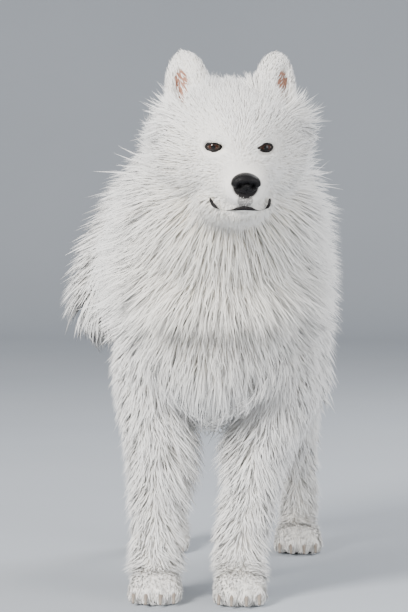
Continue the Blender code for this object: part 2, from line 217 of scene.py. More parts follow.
# %% [markdown]
# ## Floor and light
# A studio sweep is a floor that bends up into a wall, so that no horizon crosses the picture. It is
# pale and a little cool, because a white coat needs something less white behind it. The key light
# comes from the upper left as in the picture, soft and wide, and a weaker one fills the right. The
# wall stands well back, so that the dog can also be looked at from behind.

# %% Floor
SWEEP_BACK = 5.2
SWEEP_RADIUS = 1.2
SWEEP_HALF_WIDTH = 6.0
SWEEP_HEIGHT = 5.0


def sweep_profile():
    """The sweep's side view, from in front of the dog to the top of the wall."""
    points = [(-7.0, 0.0), (0.0, 0.0)]
    for step in range(13):
        angle = step / 12 * math.pi / 2
        points.append((SWEEP_BACK + SWEEP_RADIUS * math.sin(angle), SWEEP_RADIUS * (1 - math.cos(angle))))
    points.append((SWEEP_BACK + SWEEP_RADIUS, SWEEP_HEIGHT))
    return points


def make_floor():
    profile = sweep_profile()
    points = [(x, y, z) for x in (-SWEEP_HALF_WIDTH, SWEEP_HALF_WIDTH) for y, z in profile]
    count = len(profile)
    faces = [(i, i + 1, count + i + 1, count + i) for i in range(count - 1)]
    mesh = bpy.data.meshes.new("floor")
    mesh.from_pydata(points, [], faces)
    made = bpy.data.objects.new("floor", mesh)
    bpy.context.scene.collection.objects.link(made)
    for face in mesh.polygons:
        face.use_smooth = True
    return made


floor = make_floor()
paint = Finish("floor_paint", Roughness=0.85)
paint.colour(paint.blend(paint.noise(2.0), (0.40, 0.43, 0.47), (0.44, 0.47, 0.51)))
floor.data.materials.append(paint.material)
print("floor", len(floor.data.polygons), "faces")

# %% Lights


def area_light(name, place, aim, size, power, colour):
    light = bpy.data.lights.new(name, "AREA")
    light.size = size
    light.energy = power
    light.color = colour
    made = bpy.data.objects.new(name, light)
    made.location = place
    made.rotation_mode = "QUATERNION"
    made.rotation_quaternion = (Vector(aim) - Vector(place)).to_track_quat("-Z", "Y")
    bpy.context.scene.collection.objects.link(made)
    return made


CHEST = (0.0, -0.2, 0.45)
area_light("key", (-2.2, -2.9, 2.7), CHEST, 1.4, 320.0, (1.0, 0.98, 0.95))
area_light("fill", (3.0, -2.4, 1.2), CHEST, 2.4, 85.0, (0.97, 0.98, 1.0))
area_light("rim", (1.4, 2.0, 2.6), CHEST, 1.4, 70.0, (0.97, 0.98, 1.0))
world = bpy.data.worlds.new("studio")
world.use_nodes = True
world.node_tree.nodes["Background"].inputs["Color"].default_value = (0.86, 0.86, 0.87, 1.0)
world.node_tree.nodes["Background"].inputs["Strength"].default_value = 0.80
bpy.context.scene.world = world
print("three lights and a pale sky")

# %% [markdown]
# ## The body under the coat
# A coat only looks right on the right body. Each limb is a loft: oval sections along a path, from
# a few stations that a smooth curve joins. Sculpting by hand would give more small forms, but a
# loft keeps every width and height as a number that can be read and changed. These are the same
# stations as in the solids, without the coat on them, so the skin lies inside the solids.

# %% Lofts
WITHERS = 0.565
BODY_LENGTH = 0.60
CHEST_HALF_WIDTH = 0.113
CHEST_DEPTH = 0.262
MUZZLE_LENGTH = 0.088
EAR_HEIGHT = 0.092
FORE_PAW = {"left": Vector((0.036, -0.262, 0.0)), "right": Vector((-0.085, -0.255, 0.0))}
HIND_PAW = {"left": Vector((0.114, 0.232, 0.0)), "right": Vector((-0.098, 0.238, 0.0))}
X_AXIS = Vector((1.0, 0.0, 0.0))


def smooth_rows(stations, rings):
    """Rows of numbers along a smooth curve through the stations' rows."""
    rows = np.array(stations, float)
    last = len(rows) - 1
    padded = np.vstack([2 * rows[0] - rows[1], rows, 2 * rows[-1] - rows[-2]])
    out = []
    for at in np.linspace(0, last, rings):
        i = min(int(at), last - 1)
        t = at - i
        a, b, c, d = padded[i : i + 4]
        out.append(
            0.5 * (2 * b + (c - a) * t + (2 * a - 5 * b + 4 * c - d) * t**2 + (3 * b - a - 3 * c + d) * t**3)
        )
    return np.array(out)


class Loft:
    """A closed form through oval sections along a path.

    A row is x, y, z, half width, half height above and half height below the path.
    """

    def __init__(self, rows, sides, square=2.0, place=None, across=X_AXIS):
        self.place = TO_FRAME @ (place or Matrix.Identity(4))
        self.centres = [Vector(row[:3]) for row in rows]
        self.halves = np.maximum(np.array(rows)[:, 3:], 0.002)
        self.square = square
        self.sides = sides
        self.frames = [self.frame(i, across) for i in range(len(rows))]

    def frame(self, i, across):
        """The section's side and up directions."""
        before = self.centres[max(i - 1, 0)]
        after = self.centres[min(i + 1, len(self.centres) - 1)]
        along = (after - before).normalized()
        side = (across - along * across.dot(along)).normalized()
        return side, side.cross(along)

    def point(self, ring, turn):
        """A point of a section at an angle in turns: 0 is the side direction and a quarter is up."""
        cos, sin = math.cos(turn * math.tau), math.sin(turn * math.tau)
        half, above, below = self.halves[ring]
        side, up = self.frames[ring]
        power = 2.0 / self.square
        out = math.copysign(abs(cos) ** power, cos) * half
        rise = math.copysign(abs(sin) ** power, sin) * (above if sin > 0 else below)
        return self.place @ (self.centres[ring] + side * out + up * rise)

    def add_to(self, bm):
        loops = [
            [bm.verts.new(self.point(ring, j / self.sides)) for j in range(self.sides)]
            for ring in range(len(self.centres))
        ]
        for one, two in zip(loops, loops[1:]):
            for j in range(self.sides):
                k = (j + 1) % self.sides
                bm.faces.new((one[j], one[k], two[k], two[j]))
        bm.faces.new(loops[0][::-1])
        bm.faces.new(loops[-1])


def mesh_object(name, bm):
    """A piece of the dog from a bmesh, with its faces turned outwards."""
    bmesh.ops.recalc_face_normals(bm, faces=bm.faces)
    mesh = bpy.data.meshes.new(name)
    bm.to_mesh(mesh)
    bm.free()
    made = bpy.data.objects.new(name, mesh)
    bpy.context.scene.collection.objects.link(made)
    return made


def loft_object(name, *lofts):
    bm = bmesh.new()
    for loft in lofts:
        loft.add_to(bm)
    return mesh_object(name, bm)


print("lofts are ready")

# %% [markdown]
# ### Trunk and neck
# The back is level and the belly tucks up. The neck rises into the back of the skull.

# %% Trunk and neck


def torso_rows():
    front = -0.55 * BODY_LENGTH
    deep = CHEST_DEPTH / 2
    plan = (
        (0.00, 0.75, 0.20, 0.18),
        (0.04, 0.75, 0.60, 0.62),
        (0.13, 0.75, 0.88, 0.92),
        (0.28, 0.755, 1.00, 1.03),
        (0.46, 0.765, 1.02, 0.98),
        (0.62, 0.785, 0.96, 0.84),
        (0.77, 0.80, 0.92, 0.74),
        (0.90, 0.815, 0.88, 0.68),
        (0.97, 0.82, 0.66, 0.54),
        (1.01, 0.82, 0.22, 0.20),
    )
    stations = [
        (0.0, front + at * BODY_LENGTH, WITHERS * level, CHEST_HALF_WIDTH * wide, deep * depth, deep * depth)
        for at, level, wide, depth in plan
    ]
    return smooth_rows(stations, 48)


def neck_rows():
    head_end = Vector((0.021, -0.390, 0.636))
    chest_end = Vector((0.0, -0.165, WITHERS * 0.80))
    plan = (
        (0.00, 0.058, 0.054, 0.060),
        (0.25, 0.070, 0.070, 0.078),
        (0.50, 0.080, 0.082, 0.092),
        (0.75, 0.093, 0.090, 0.105),
        (1.00, 0.098, 0.080, 0.105),
    )
    stations = [(*head_end.lerp(chest_end, at), half, above, below) for at, half, above, below in plan]
    return smooth_rows(stations, 24)


# %% [markdown]
# ### Legs and tail
# The fore legs drop straight from the shoulder. The hind legs bend at the stifle and the hock. The
# tail starts on the croup, curls forward over the back and hangs down the right flank.

# %% Legs and tail


def fore_leg_rows(side):
    paw = FORE_PAW[side]
    shoulder_x = 0.088 * SIDES[side]
    stations = (
        (shoulder_x * 0.84, -0.190, 0.415, 0.036, 0.052, 0.052),
        (shoulder_x * 1.02, -0.205, 0.345, 0.047, 0.062, 0.062),
        (shoulder_x * 1.06, -0.208, 0.290, 0.040, 0.050, 0.048),
        (shoulder_x * 0.55 + paw.x * 0.45, -0.216, 0.215, 0.031, 0.036, 0.036),
        (shoulder_x * 0.24 + paw.x * 0.76, -0.226, 0.140, 0.026, 0.028, 0.028),
        (paw.x, -0.236, 0.090, 0.024, 0.026, 0.025),
        (paw.x, -0.246, 0.046, 0.025, 0.027, 0.025),
        (paw.x, -0.252, 0.024, 0.018, 0.020, 0.018),
    )
    return smooth_rows(stations, 40)


def hind_leg_rows(side):
    paw = HIND_PAW[side]
    hip_x = 0.078 * SIDES[side]
    stations = (
        (hip_x * 0.70, 0.165, 0.480, 0.030, 0.060, 0.060),
        (hip_x * 1.00, 0.152, 0.400, 0.052, 0.088, 0.088),
        (hip_x * 1.18, 0.152, 0.325, 0.046, 0.074, 0.072),
        (hip_x * 0.60 + paw.x * 0.50, 0.188, 0.250, 0.033, 0.046, 0.048),
        (paw.x * 0.98, 0.242, 0.178, 0.023, 0.030, 0.032),
        (paw.x, 0.262, 0.125, 0.020, 0.024, 0.026),
        (paw.x, 0.256, 0.070, 0.021, 0.025, 0.026),
        (paw.x, 0.248, 0.026, 0.018, 0.022, 0.020),
    )
    return smooth_rows(stations, 48)


def tail_rows():
    croup = Vector((0.0, 0.235, WITHERS * 0.955))
    plan = (
        (0.000, -0.010, -0.030, 0.026),
        (-0.001, 0.038, 0.030, 0.026),
        (-0.006, 0.050, 0.088, 0.025),
        (-0.026, 0.012, 0.118, 0.024),
        (-0.058, -0.044, 0.104, 0.023),
        (-0.098, -0.078, 0.052, 0.022),
        (-0.138, -0.094, -0.008, 0.021),
        (-0.174, -0.104, -0.070, 0.018),
        (-0.196, -0.110, -0.128, 0.014),
        (-0.196, -0.112, -0.166, 0.009),
    )
    stations = [(*(croup + Vector(step[:3])), step[3], step[3], step[3]) for step in plan]
    return smooth_rows(stations, 60)


# How far each toe's middle is out from the paw's middle and along it
TOES = ((-0.026, -0.036), (-0.0095, -0.046), (0.0095, -0.046), (0.026, -0.036))
TOE_LENGTHS = ((-0.018, 0.006), (-0.008, 0.0095), (0.004, 0.0100), (0.012, 0.0075), (0.015, 0.003))


def toe_rows(paw, out, along, lean):
    """A toe from inside the paw to its tip."""
    level = 0.0125
    return [
        (paw.x + out - lean * step, paw.y + along - step, level, half, half * 1.25, level)
        for step, half in TOE_LENGTHS
    ]


def paw_lofts(paw):
    """The pad and four toes, cut off by the floor later."""
    plan = (
        (0.040, 0.020, 0.014, 0.012),
        (0.032, 0.022, 0.025, 0.026),
        (0.008, 0.022, 0.032, 0.034),
        (-0.020, 0.020, 0.034, 0.025),
        (-0.038, 0.016, 0.030, 0.014),
        (-0.048, 0.012, 0.020, 0.008),
    )
    stations = [(paw.x, paw.y + along, level, half, above, level) for along, level, half, above in plan]
    lofts = [Loft(smooth_rows(stations, 14), 24, 2.4)]
    for i, (out, along) in enumerate(TOES):
        lean = (i - 1.5) * 0.10
        lofts.append(Loft(smooth_rows(toe_rows(paw, out, along, lean), 10), 14))
    return lofts


# %% [markdown]
# ### Head and ears
# The head gets the most sections, because a face is read at once: a broad flat skull, a clear stop,
# a muzzle that tapers to the nose, and a lower jaw of its own below the upper lips. The ears stand
# up, thick and rounded at the tip, and their cups are cut out before the skin is drawn over all.

# %% Head and ears


def head_rows():
    stations = (
        (0.0, -0.086, -0.047, 0.020, 0.014, 0.019),
        (0.0, -0.078, -0.047, 0.027, 0.021, 0.026),
        (0.0, -0.060, -0.046, 0.032, 0.027, 0.030),
        (0.0, -0.040, -0.042, 0.036, 0.031, 0.033),
        (0.0, -0.022, -0.035, 0.043, 0.039, 0.038),
        (0.0, -0.002, -0.023, 0.056, 0.059, 0.048),
        (0.0, 0.024, -0.014, 0.070, 0.072, 0.062),
        (0.0, 0.055, -0.008, 0.078, 0.076, 0.070),
        (0.0, 0.088, -0.006, 0.078, 0.074, 0.070),
        (0.0, 0.118, -0.010, 0.066, 0.062, 0.058),
        (0.0, 0.140, -0.014, 0.040, 0.038, 0.034),
    )
    return smooth_rows(stations, 60)


def jaw_rows():
    stations = (
        (0.0, -0.0745, -0.0790, 0.009, 0.006, 0.007),
        (0.0, -0.0690, -0.0785, 0.018, 0.012, 0.013),
        (0.0, -0.0520, -0.0770, 0.026, 0.016, 0.018),
        (0.0, -0.0280, -0.0740, 0.033, 0.020, 0.023),
        (0.0, 0.0020, -0.0700, 0.040, 0.022, 0.028),
        (0.0, 0.0320, -0.0660, 0.042, 0.022, 0.032),
        (0.0, 0.0550, -0.0620, 0.034, 0.018, 0.028),
    )
    return smooth_rows(stations, 30)


def ear_frame(side):
    """Up along the ear, with its cup towards -Y and a little outwards."""
    turn = SIDES[side]
    base = Vector((0.054 * turn, 0.068, 0.036))
    lean = Matrix.Rotation(math.radians(17) * turn, 4, "Y") @ Matrix.Rotation(math.radians(-17), 4, "X")
    return HEAD @ Matrix.Translation(base) @ Matrix.Rotation(math.radians(20) * turn, 4, "Z") @ lean


def ear_rows(plan, rings, forward=0.0, outwards=0.0):
    stations = [
        (outwards, 0.006 * at - forward, at * EAR_HEIGHT, half, front, back) for at, half, front, back in plan
    ]
    return smooth_rows(stations, rings)


EAR_PLAN = (
    (0.00, 0.037, 0.022, 0.017),
    (0.22, 0.035, 0.021, 0.016),
    (0.45, 0.031, 0.018, 0.014),
    (0.65, 0.027, 0.015, 0.012),
    (0.82, 0.021, 0.011, 0.009),
    (0.93, 0.013, 0.008, 0.007),
    (0.99, 0.005, 0.003, 0.003),
)
CUP_PLAN = (
    (0.14, 0.008, 0.016, 0.002),
    (0.28, 0.013, 0.016, 0.006),
    (0.44, 0.014, 0.015, 0.007),
    (0.60, 0.011, 0.013, 0.005),
    (0.76, 0.005, 0.011, 0.002),
)
CUP_OUTWARDS = 0.005
CUP_MIDDLE = 0.45
CUP_HALF_HEIGHT = 0.27


def ear_object(side):
    """An ear with its cup taken out."""
    made = loft_object("ear_form", Loft(ear_rows(EAR_PLAN, 30), 36, place=ear_frame(side)))
    cup_rows = ear_rows(CUP_PLAN, 20, 0.010, CUP_OUTWARDS * SIDES[side])
    cup = loft_object("cup", Loft(cup_rows, 24, place=ear_frame(side)))
    modifier = made.modifiers.new("cup", "BOOLEAN")
    modifier.operation = "DIFFERENCE"
    modifier.solver = "EXACT"
    modifier.object = cup
    bake_modifiers(made)
    bpy.data.objects.remove(cup)
    return made


def bake_modifiers(made):
    """Replaces a piece's mesh with what its modifiers make of it."""
    graph = bpy.context.evaluated_depsgraph_get()
    graph.update()
    mesh = bpy.data.meshes.new_from_object(made.evaluated_get(graph))
    made.modifiers.clear()
    made.data = mesh


print("the forms of the head are ready")

# %% [markdown]
# ### One skin
# The forms overlap like clay sausages. A voxel remesh melts them into one closed surface, and a
# little smoothing takes away the creases. Joining them with Booleans would keep hard seams. Inside
# the almond of each eye the skin is sunk, and round it the skin is laid on the eyeball as a lid. The
# skin then takes the place of the solids of the flesh, which stay hidden for the physics.

# %% One skin
VOXEL = 0.0031
SMOOTH_ROUNDS = 6


def body_lofts():
    """All forms of the body by the name of the region that they are."""
    tail = tail_rows()
    lofts = {
        "torso": [Loft(torso_rows(), 48)],
        "neck": [Loft(neck_rows(), 48)],
        "head": [Loft(head_rows(), 56, 2.1, HEAD)],
        "jaw": [Loft(jaw_rows(), 36, 2.0, HEAD)],
        "tail": [Loft(tail, 24)],
    }
    for side in SIDES:
        hind = hind_leg_rows(side)
        lofts[f"fore_leg_{side}"] = [Loft(fore_leg_rows(side), 28)]
        lofts[f"thigh_{side}"] = [Loft(hind[:22], 36)]
        lofts[f"shank_{side}"] = [Loft(hind[18:], 28)]
        lofts[f"fore_paw_{side}"] = paw_lofts(FORE_PAW[side])
        lofts[f"hind_paw_{side}"] = paw_lofts(HIND_PAW[side])
    return lofts


def join_objects(made, others):
    """Adds the other objects' faces to the first one's mesh."""
    bm = bmesh.new()
    for part in [made, *others]:
        bm.from_mesh(part.data)
    bm.to_mesh(made.data)
    bm.free()
    for part in others:
        bpy.data.objects.remove(part)


LOFTS = body_lofts()
skin = loft_object("skin", *[loft for group in LOFTS.values() for loft in group])
ear_forms = {side: ear_object(side) for side in SIDES}
EAR_TREES = {}
for side, ear_form in ear_forms.items():
    bm = bmesh.new()
    bm.from_mesh(ear_form.data)
    EAR_TREES[f"ear_{side}"] = BVHTree.FromBMesh(bm)
    bm.free()
join_objects(skin, list(ear_forms.values()))
remesh = skin.modifiers.new("melt", "REMESH")
remesh.mode = "VOXEL"
remesh.voxel_size = VOXEL
remesh.use_smooth_shade = True
relax = skin.modifiers.new("relax", "SMOOTH")
relax.factor = 0.5
relax.iterations = SMOOTH_ROUNDS
bake_modifiers(skin)


def vertex_places(mesh):
    places = np.zeros(len(mesh.vertices) * 3)
    mesh.vertices.foreach_get("co", places)
    return places.reshape(-1, 3)


def moved_by(matrix, places):
    """The places after a matrix, many at once."""
    turn = np.array(matrix.to_3x3())
    return places @ turn.T + np.array(matrix.translation)


def open_eyes(places):
    """Sinks the skin inside each almond and lays it over the edge of the eyeball outside."""
    for side in SIDES:
        local = moved_by(EYE_FRAMES[side].inverted(), places)
        near = (local[:, 1] < 0.006) & (np.linalg.norm(local, axis=1) < 0.032)
        flat = np.hypot(local[:, 0] / ALMOND[0], local[:, 2] / ALMOND[1])
        ring = np.minimum(local[:, 0] ** 2 + local[:, 2] ** 2, EYE_RADIUS**2 * 0.95)
        ball = -np.sqrt(EYE_RADIUS**2 - ring)
        share = np.clip(1.0 - (flat - 1.0) / 0.8, 0.0, 1.0)
        lid = local[:, 1] * (1 - share) + (ball - LID_THICKNESS) * share
        local[:, 1] = np.where(near, np.where(flat < 1.0, ball * 0.25, lid), local[:, 1])
        places = moved_by(EYE_FRAMES[side], local)
    return places


ALMOND = (0.0108, 0.0054)
LID_THICKNESS = 0.0008
skin_places = open_eyes(vertex_places(skin.data))
skin_places[:, 2] = np.maximum(skin_places[:, 2], 0.0)
skin.data.vertices.foreach_set("co", skin_places.ravel())
skin.data.update()
flesh = [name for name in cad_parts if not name.startswith(("eye", "nose"))]
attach(skin, "root")
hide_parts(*flesh)
print("skin", len(skin.data.polygons), "faces")

# %% [markdown]
# ### An unwrap of the skin
# Each tuft will be painted from the place where it grows, so the skin needs a map of its own. Smart
# projection cuts the surface where it turns and lays the patches flat beside each other.

# %% Unwrap
bpy.context.view_layer.objects.active = skin
skin.select_set(True)
bpy.ops.object.mode_set(mode="EDIT")
bpy.ops.mesh.select_all(action="SELECT")
bpy.ops.uv.smart_project(angle_limit=math.radians(66), island_margin=0.002)
bpy.ops.object.mode_set(mode="OBJECT")
skin.data.uv_layers.active.name = "OFBake"
print("unwrapped into", skin.data.uv_layers.active.name)

# %% [markdown]
# ## How the coat lies
# Hair is easiest to comb by region. On the face it runs away from the nose, on the ruff it rays
# out from the face and falls, on the trunk it runs back and down, on the legs down, and on the tail
# it parts from the bone like a plume. A few thousand guide hairs carry these directions, with the
# length and thickness of the hair there. How deep the coat is comes from the solids: a ray goes
# straight out from the skin to the last solid that it leaves. Neighbouring guides are averaged, so
# that the regions flow into each other. Particle hair can't be exported as a solid.

# %% Regions of the coat
# Usual depth, most depth, length over depth, a tuft's width, tufts a square metre, pull into clumps
REGIONS = {
    "torso": (0.042, 0.075, 1.70, 0.0030, 50000, 0.35),
    "neck": (0.064, 0.095, 1.12, 0.0020, 170000, 0.25),
    "chest": (0.055, 0.080, 1.10, 0.0020, 170000, 0.28),
    "tail": (0.060, 0.115, 1.25, 0.0028, 120000, 0.35),
    "fore_leg": (0.021, 0.034, 1.55, 0.0018, 130000, 0.30),
    "thigh": (0.036, 0.055, 1.80, 0.0030, 52000, 0.40),
    "shank": (0.017, 0.028, 1.65, 0.0019, 95000, 0.30),
    "paw": (0.006, 0.010, 2.20, 0.0016, 130000, 0.20),
    "head": (0.010, 0.060, 2.00, 0.0013, 340000, 0.12),
    "jaw": (0.012, 0.020, 1.70, 0.0014, 260000, 0.15),
    "ear": (0.008, 0.011, 2.00, 0.0014, 260000, 0.12),
}
NOSE_TIP = Vector((0.0, -0.100, -0.045))
FACE = HEAD @ Vector((0.0, -0.045, -0.030))
TAIL_PATH = [Vector(row[:3]) + SHIFT for row in tail_rows()]


def region_of(name, point):
    """The row of REGIONS that holds for a form at a point."""
    kind = name.replace("_left", "").replace("_right", "")
    if kind.endswith("paw"):
        return "paw"
    if kind in ("neck", "torso") and point.y < SHIFT.y - 0.27 and point.z < 0.52:
        return "chest"
    return kind


def lie_at(kind, name, point):
    """The way that the hair runs at a point of the skin, before it is laid along the surface."""
    dog = point - SHIFT
    if kind in ("head", "jaw"):
        local = HEAD_BACK @ point
        aside = Vector((local.x, 0.0, local.z - 0.010)).normalized()
        return HEAD_IN_FRAME.to_3x3() @ ((local - NOSE_TIP).normalized() + aside * 0.5)
    if kind == "ear":
        side = "left" if name.endswith("left") else "right"
        up = ear_frame(side).to_3x3() @ Vector((0.25 * SIDES[side], -0.1, 1.0))
        return up.normalized()
    if kind in ("neck", "chest"):
        fall = 0.10 + 1.0 * min(max((0.66 - dog.z) / 0.17, 0.0), 1.0)
        return (dog - FACE).normalized() + Vector((0.0, 0.10, -fall))
    if kind == "torso":
        back = min(max((dog.y + 0.31) / 0.14, 0.0), 1.0)
        return Vector((0.0, back, -1.0 + 0.35 * back))
    if kind == "tail":
        near = min(range(len(TAIL_PATH) - 1), key=lambda i: (TAIL_PATH[i] - point).length)
        along = (TAIL_PATH[near + 1] - TAIL_PATH[near]).normalized()
        return along + (point - TAIL_PATH[near]).normalized() * 0.30 + Vector((0.0, 0.0, -0.45))
    if kind == "paw":
        return Vector((0.0, -1.0, -0.9))
    return Vector((0.0, 0.40, -1.0))


print(len(REGIONS), "regions of the coat")

# %% Guide hairs
GUIDES = 9000
GUIDE_STEPS = 6
draw = np.random.default_rng(20)


class SkinSampler:
    """Draws points on the skin, evenly by area and the same each run."""

    def __init__(self, made):
        mesh = made.data
        mesh.calc_loop_triangles()
        count = len(mesh.loop_triangles)
        points = np.zeros(len(mesh.vertices) * 3)
        mesh.vertices.foreach_get("co", points)
        corners = np.zeros(count * 3, int)
        mesh.loop_triangles.foreach_get("vertices", corners)
        loops = np.zeros(count * 3, int)
        mesh.loop_triangles.foreach_get("loops", loops)
        normals = np.zeros(len(mesh.vertices) * 3)
        mesh.vertex_normals.foreach_get("vector", normals)
        charts = np.zeros(len(mesh.loops) * 2)
        mesh.uv_layers["OFBake"].data.foreach_get("uv", charts)
        self.corners = points.reshape(-1, 3)[corners.reshape(-1, 3)]
        self.normals = normals.reshape(-1, 3)[corners.reshape(-1, 3)]
        self.charts = charts.reshape(-1, 2)[loops.reshape(-1, 3)]
        cross = np.cross(self.corners[:, 1] - self.corners[:, 0], self.corners[:, 2] - self.corners[:, 0])
        self.areas = np.linalg.norm(cross, axis=1) / 2

    def draw(self, count, weight=None):
        """Places, outward directions and chart places of random points."""
        share = self.areas if weight is None else self.areas * weight
        chosen = draw.choice(len(share), count, p=share / share.sum())
        one, two = draw.random(count), draw.random(count)
        flip = one + two > 1
        one[flip], two[flip] = 1 - one[flip], 1 - two[flip]
        shares = np.stack([1 - one - two, one, two], axis=1)[:, :, None]
        normals = (self.normals[chosen] * shares).sum(axis=1)
        normals /= np.linalg.norm(normals, axis=1)[:, None]
        places = (self.corners[chosen] * shares).sum(axis=1)
        spots = (self.charts[chosen] * shares).sum(axis=1)
        return places, normals, spots


sampler = SkinSampler(skin)
print("skin area", round(float(sampler.areas.sum()), 3), "square metres")

# %% Comb the guides


def form_tree(lofts):
    bm = bmesh.new()
    for loft in lofts:
        loft.add_to(bm)
    tree = BVHTree.FromBMesh(bm)
    bm.free()
    return tree


FORM_TREES = {name: form_tree(lofts) for name, lofts in LOFTS.items()} | EAR_TREES
skin_bm = bmesh.new()
skin_bm.from_mesh(skin.data)
SKIN_TREE = BVHTree.FromBMesh(skin_bm)
skin_bm.free()


NODE_TREES = {}
for node_name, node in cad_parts.items():
    node_bm = bmesh.new()
    node_bm.from_mesh(node.data)
    NODE_TREES[node_name] = BVHTree.FromBMesh(node_bm)
    node_bm.free()


def nodes_round(kind, name):
    """The solids that show how far the coat of a region reaches."""
    if kind in ("torso", "neck", "chest"):
        return ("torso", "neck")
    if kind == "tail":
        return ("tail_base", "tail_middle", "tail_end")
    return {"head": ("head", "neck"), "jaw": ("lower_jaw",)}.get(kind, (name,))


def room_over(nodes, point, normal, most):
    """How far the solids reach over the skin, straight out."""
    reach = 0.0
    for name in nodes:
        start, gone = point, 0.0
        while gone < most:
            hit, face_out, _, distance = NODE_TREES[name].ray_cast(start, normal, most - gone)
            if hit is None:
                break
            gone += distance + 0.0002
            start = hit + normal * 0.0002
            if face_out.dot(normal) > 0:
                reach = max(reach, gone)
    return reach


CHEEK_DEPTH = 0.050


def ramp(value, low, high):
    """0 below the low value, 1 above the high one."""
    return min(max((value - low) / (high - low), 0.0), 1.0)


def cheek_share(point):
    """1 on the cheeks, where the ruff begins, and 0 on the face."""
    local = HEAD_BACK @ point
    return ramp(abs(local.x), 0.040, 0.064) * ramp(local.z, 0.075, 0.030) * ramp(local.y, 0.000, 0.055)


def head_depth(point, depth, room):
    """Short on the muzzle, longer on the brow and the skull, and out to the ruff on the cheeks."""
    local = HEAD_BACK @ point
    short = depth * (0.35 + 0.75 * ramp(local.y, -0.095, 0.03)) + 0.016 * ramp(local.y, 0.03, 0.08)
    return short + (max(room, CHEEK_DEPTH) - short) * cheek_share(point)


def guide_facts(point, normal):
    """The region's numbers at a point, and the hair's direction."""
    name = min(FORM_TREES, key=lambda key: FORM_TREES[key].find_nearest(point)[3])
    kind = region_of(name, point)
    usual, most, slope, width, dense, clump = REGIONS[kind]
    room = room_over(nodes_round(kind, name), point, normal, most)
    depth = min(max(room, usual * 0.6), most)
    if kind == "head":
        depth = head_depth(point, usual, room)
        slope -= 0.75 * cheek_share(point)
    if kind in ("torso", "chest") and normal.z < -0.2:
        depth += 0.020 * ramp(point.y, SHIFT.y - 0.05, SHIFT.y - 0.20)
    if kind == "fore_leg" and normal.x * SIDES[name.rsplit("_", 1)[-1]] < -0.2:
        depth *= 1.0 + 1.0 * ramp(point.z, 0.14, 0.24)
    if kind == "jaw":
        depth = usual * (0.6 + 1.4 * ramp((HEAD_BACK @ point).y, -0.05, 0.02))
    if kind == "fore_leg" and normal.y > 0.35:
        slope = slope * 1.2
    flow = lie_at(kind, name, point)
    flow = flow - normal * flow.dot(normal) * 0.92
    return [depth, depth * slope, width, dense, clump, *flow.normalized()]


def detail_weight(points):
    """More guides on the head, the ears and the paws."""
    head = np.linalg.norm(points - np.array(HEAD_IN_FRAME @ Vector((0.0, 0.03, 0.02))), axis=1) < 0.15
    return 1.0 + 5.0 * head + 3.0 * (points[:, 2] < 0.05)


middles = sampler.corners.mean(axis=1)
guide_points, guide_normals, _ = sampler.draw(GUIDES, detail_weight(middles))
facts = np.array([guide_facts(Vector(p), Vector(n)) for p, n in zip(guide_points, guide_normals)])
print("guides", facts.shape)

# %% Blend neighbouring guides
SMOOTH_NEIGHBOURS = 14
SMOOTH_REACH = 0.030


def tree_of(points):
    tree = KDTree(len(points))
    for i, point in enumerate(points):
        tree.insert(point, i)
    tree.balance()
    return tree


def blended(points, normals, facts, tree):
    """Each guide's numbers, averaged with those of its neighbours on the same side of the body."""
    out = facts.copy()
    for i, point in enumerate(points):
        near = [hit for hit in tree.find_n(point, SMOOTH_NEIGHBOURS) if hit[2] < SMOOTH_REACH]
        chosen = [hit[1] for hit in near if normals[hit[1]] @ normals[i] > 0.3]
        if chosen:
            out[i] = facts[chosen].mean(axis=0)
    return out


guide_tree = tree_of(guide_points)
facts = blended(guide_points, guide_normals, facts, guide_tree)
facts = blended(guide_points, guide_normals, facts, guide_tree)
print("mean hair length", round(float(facts[:, 1].mean()), 4))

# %% [markdown]
# ### Guides that follow the body
# Each guide takes a few steps over the skin in its direction. After each step it is set to its
# height: it leaves the skin quickly and then runs nearly level with it, as long hair does.

# %% Walk the guides


def walk(point, normal, depth, length, flow):
    """The places of one guide and the outward direction at each of them."""
    places, outs = [point], [normal]
    here = Vector(point)
    out = Vector(normal)
    way = Vector(flow)
    for step in range(1, GUIDE_STEPS + 1):
        along = (way - out * way.dot(out) * 0.9).normalized()
        here = here + along * (length / GUIDE_STEPS)
        found, face_out, _, height = SKIN_TREE.find_nearest(here)
        offset = here - found
        height = height if offset.dot(face_out) > 0 else -height
        target = depth * (step / GUIDE_STEPS) ** 0.75
        lift = min(max(target - height, -0.020), 0.020)
        out = (out * 0.4 + face_out * 0.6).normalized()
        here = here + out * lift
        places.append(here.copy())
        outs.append(out.copy())
    return places, outs


walked = [walk(p, n, f[0], f[1], f[5:8]) for p, n, f in zip(guide_points, guide_normals, facts)]
guide_paths = np.array([[tuple(place) for place in places] for places, _ in walked])
guide_outs = np.array([[tuple(out) for out in outs] for _, outs in walked])
guide_steps = guide_paths - guide_paths[:, :1]
print("walked", guide_paths.shape)

# %% [markdown]
# ## Tufts
# A tuft is a thin closed spike of three sides that bends along its guides and tapers to a point.
# Tens of thousands of them overlap. Each one takes its bend from the three nearest guides, and is
# drawn a little towards a shared tip, because real hair gathers in locks. Two in five stay short,
# as an undercoat, and the hair is shorter near the eyes and the nose. NumPy makes them all at once:
# a loop over single tufts in Python would take minutes.

# %% Roots
CANDIDATES = 660000
DENSITY = 0.93
CLUMP_SHARE = 2


def keep_roots():
    """Random roots, thinned out to the density of the hair at each place."""
    points, normals, charts = sampler.draw(CANDIDATES)
    nearest = np.array([guide_tree.find(point)[1] for point in points])
    wanted = facts[nearest, 3] * DENSITY
    drawn = CANDIDATES / sampler.areas.sum()
    keep = draw.random(CANDIDATES) < wanted / drawn
    keep &= points[:, 2] > 0.004
    return points[keep], normals[keep], charts[keep]


roots, root_normals, root_charts = keep_roots()
print("roots", len(roots))

# %% Bend each tuft like its guides


